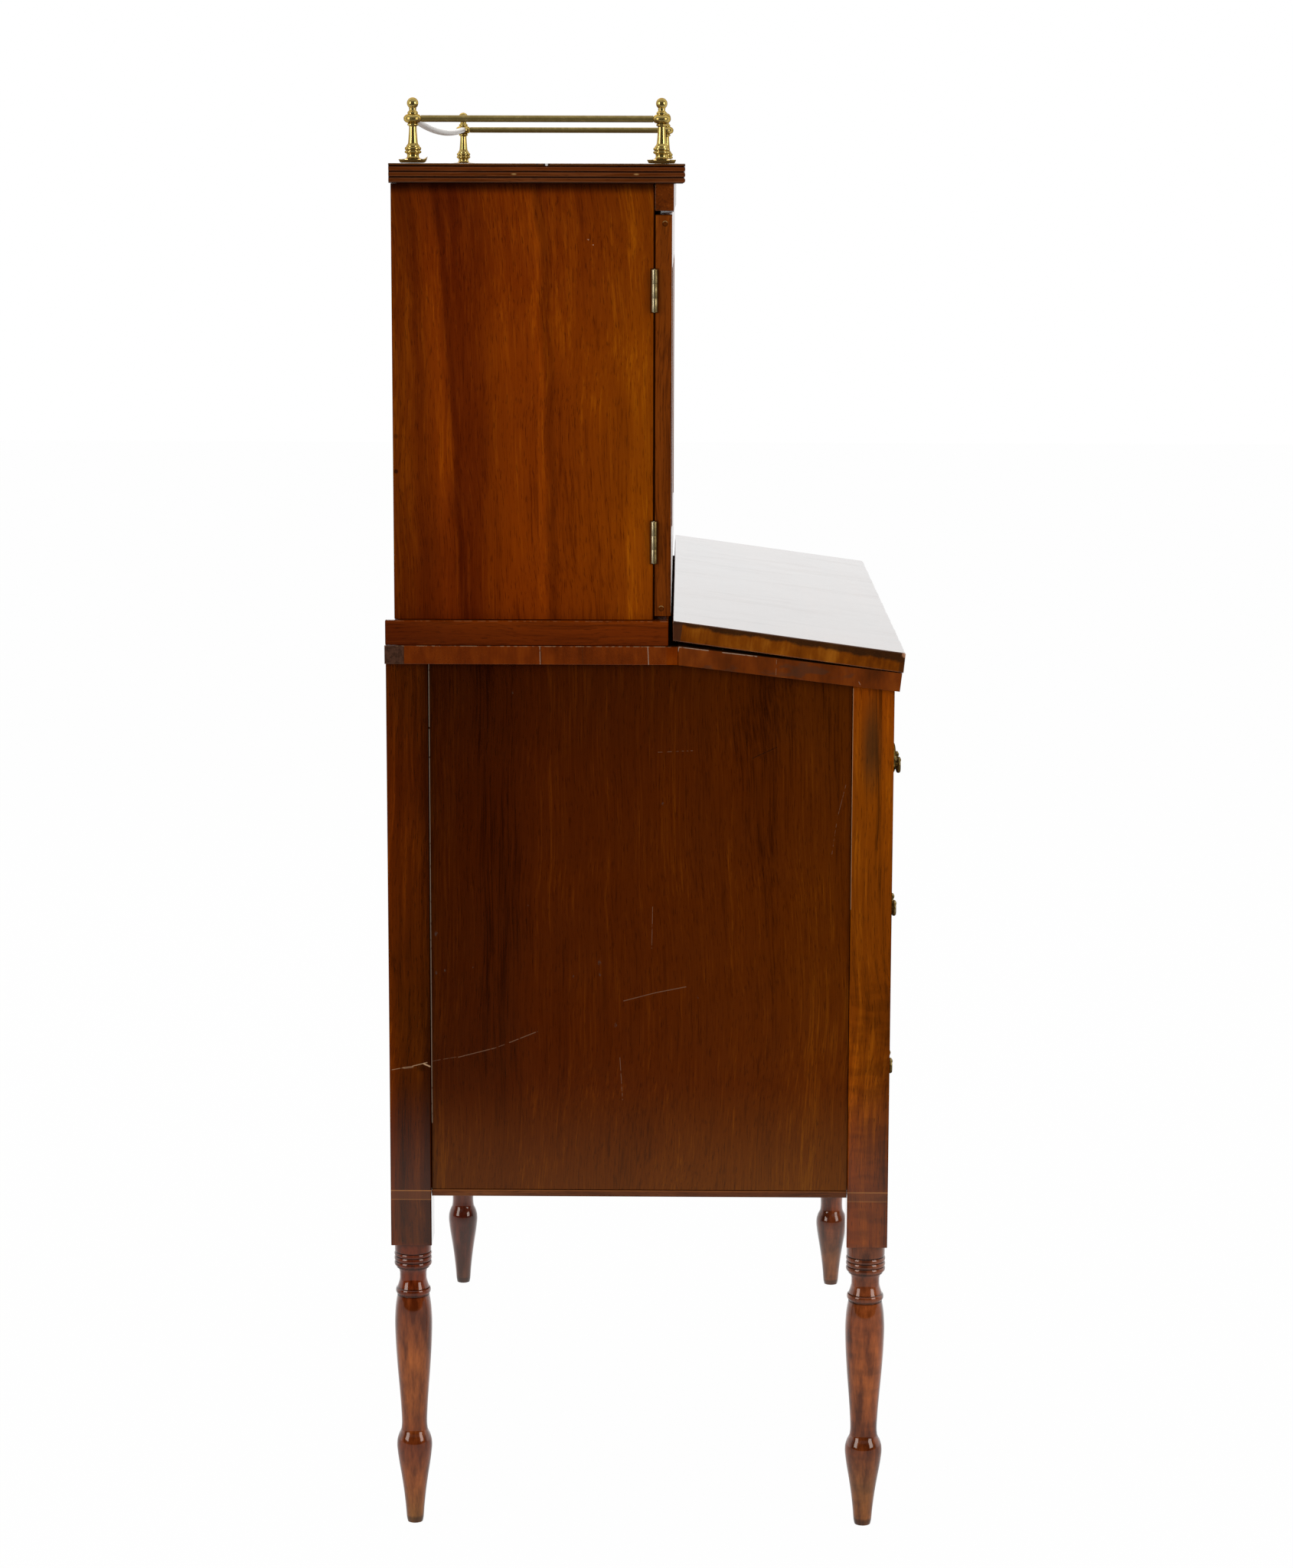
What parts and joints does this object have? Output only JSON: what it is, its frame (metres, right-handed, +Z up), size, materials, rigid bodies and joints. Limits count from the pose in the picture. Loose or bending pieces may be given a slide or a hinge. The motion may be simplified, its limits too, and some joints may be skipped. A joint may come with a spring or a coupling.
{
  "type": "writing desk",
  "caption": "Small writing desk on turned legs with drawers, a sloping bed with a fold-over writing flap on pull-out lopers, and a cabinet with doors and a brass gallery.",
  "frame": {"origin": "on the floor, in the middle of the desk's width and depth", "axes": "+Z up; the sitter's side is -Y; +X to the right of someone who faces the desk's front"},
  "size_m": [0.808, 0.4772, 1.3345],
  "materials": {
    "mahogany_case": "polished, dark red-brown",
    "mahogany_warm": "polished, warm orange-brown",
    "mahogany_edge": "polished, golden-brown cross-grained edges",
    "mahogany_leg": "glossy, turned",
    "secondary_pine": "bare, aged",
    "gallery_brass": "polished",
    "aged_brass": "dull, aged"
  },
  "bodies": {
    "case": {"leg_front_left": "mahogany_leg", "leg_front_right": "mahogany_leg", "leg_back_left": "mahogany_leg", "leg_back_right": "mahogany_leg", "side_panel_left": "mahogany_case", "side_panel_right": "mahogany_case", "back_panel": "secondary_pine", "case_bottom": "mahogany_case", "dust_frame_lower": "mahogany_case", "dust_frame_upper": "mahogany_case", "top_rail": "mahogany_case", "loper_housing_left": "mahogany_case", "loper_housing_right": "mahogany_case", "case_top": "mahogany_edge", "writing_bed": "mahogany_edge", "flap_hinge_left": "aged_brass", "flap_hinge_right": "aged_brass", "cabinet_base": "mahogany_case", "cabinet_side_left": "mahogany_warm", "cabinet_side_right": "mahogany_warm", "cabinet_back": "secondary_pine", "cabinet_top_rail": "mahogany_case", "pigeonholes": "mahogany_case", "door_hinge_left_lower": "aged_brass", "door_hinge_left_upper": "aged_brass", "door_hinge_right_lower": "aged_brass", "door_hinge_right_upper": "aged_brass", "cornice": "mahogany_case", "gallery_post_front_left": "gallery_brass", "gallery_post_front_right": "gallery_brass", "gallery_post_back_left": "gallery_brass", "gallery_post_back_right": "gallery_brass", "gallery_rod_left": "gallery_brass", "gallery_rod_right": "gallery_brass", "gallery_rod_back": "gallery_brass"},
    "flap": {"writing_flap": "mahogany_edge"},
    "loper_left": {"loper_left": "mahogany_case"},
    "loper_right": {"loper_right": "mahogany_case"},
    "door_left": {"door_left_frame": "mahogany_warm", "door_left_panel": "mahogany_case"},
    "door_right": {"door_right_frame": "mahogany_warm", "door_right_panel": "mahogany_case"},
    "lower_drawer": {"lower_drawer_front": "mahogany_warm", "lower_drawer_box": "secondary_pine", "lower_drawer_plate_left": "aged_brass", "lower_drawer_plate_right": "aged_brass"},
    "lower_drawer_bail_left": {"lower_drawer_bail_left": "aged_brass"},
    "lower_drawer_bail_right": {"lower_drawer_bail_right": "aged_brass"},
    "middle_drawer": {"middle_drawer_front": "mahogany_warm", "middle_drawer_box": "secondary_pine", "middle_drawer_plate_left": "aged_brass", "middle_drawer_plate_right": "aged_brass"},
    "middle_drawer_bail_left": {"middle_drawer_bail_left": "aged_brass"},
    "middle_drawer_bail_right": {"middle_drawer_bail_right": "aged_brass"},
    "upper_drawer": {"upper_drawer_front": "mahogany_warm", "upper_drawer_box": "secondary_pine", "upper_drawer_plate_left": "aged_brass", "upper_drawer_plate_right": "aged_brass"},
    "upper_drawer_bail_left": {"upper_drawer_bail_left": "aged_brass"},
    "upper_drawer_bail_right": {"upper_drawer_bail_right": "aged_brass"}
  },
  "joints": [
    {"name": "flap_hinge", "type": "hinge", "parent": "case", "child": "flap", "pos_m": [0, -0.23361, 0.81987], "axis": [1, 0, 0], "range_deg": [0, 178.9]},
    {"name": "loper_left_slide", "type": "slide", "parent": "case", "child": "loper_left", "axis": [0, -0.9932, -0.1167], "range_m": [0, 0.17]},
    {"name": "loper_right_slide", "type": "slide", "parent": "case", "child": "loper_right", "axis": [0, -0.9932, -0.1167], "range_m": [0, 0.17]},
    {"name": "door_left_hinge", "type": "hinge", "parent": "case", "child": "door_left", "pos_m": [-0.3979, -0.00625, 0.8703], "axis": [0, 0, -1], "range_deg": [0, 175]},
    {"name": "door_right_hinge", "type": "hinge", "parent": "case", "child": "door_right", "pos_m": [0.3979, -0.00625, 0.8703], "axis": [0, 0, 1], "range_deg": [0, 175]},
    {"name": "lower_drawer_slide", "type": "slide", "parent": "case", "child": "lower_drawer", "axis": [0, -1, 0], "range_m": [0, 0.29]},
    {"name": "lower_drawer_bail_left_swing", "type": "hinge", "parent": "lower_drawer", "child": "lower_drawer_bail_left", "pos_m": [-0.286, -0.2324, 0.433], "axis": [-1, 0, 0], "range_deg": [0, 80]},
    {"name": "lower_drawer_bail_right_swing", "type": "hinge", "parent": "lower_drawer", "child": "lower_drawer_bail_right", "pos_m": [0.286, -0.2324, 0.433], "axis": [-1, 0, 0], "range_deg": [0, 80]},
    {"name": "middle_drawer_slide", "type": "slide", "parent": "case", "child": "middle_drawer", "axis": [0, -1, 0], "range_m": [0, 0.29]},
    {"name": "middle_drawer_bail_left_swing", "type": "hinge", "parent": "middle_drawer", "child": "middle_drawer_bail_left", "pos_m": [-0.286, -0.234, 0.5865], "axis": [-1, 0, 0], "range_deg": [0, 80]},
    {"name": "middle_drawer_bail_right_swing", "type": "hinge", "parent": "middle_drawer", "child": "middle_drawer_bail_right", "pos_m": [0.286, -0.234, 0.5865], "axis": [-1, 0, 0], "range_deg": [0, 80]},
    {"name": "upper_drawer_slide", "type": "slide", "parent": "case", "child": "upper_drawer", "axis": [0, -1, 0], "range_m": [0, 0.29]},
    {"name": "upper_drawer_bail_left_swing", "type": "hinge", "parent": "upper_drawer", "child": "upper_drawer_bail_left", "pos_m": [-0.286, -0.2364, 0.724], "axis": [-1, 0, 0], "range_deg": [0, 80]},
    {"name": "upper_drawer_bail_right_swing", "type": "hinge", "parent": "upper_drawer", "child": "upper_drawer_bail_right", "pos_m": [0.286, -0.2364, 0.724], "axis": [-1, 0, 0], "range_deg": [0, 80]}
  ]
}
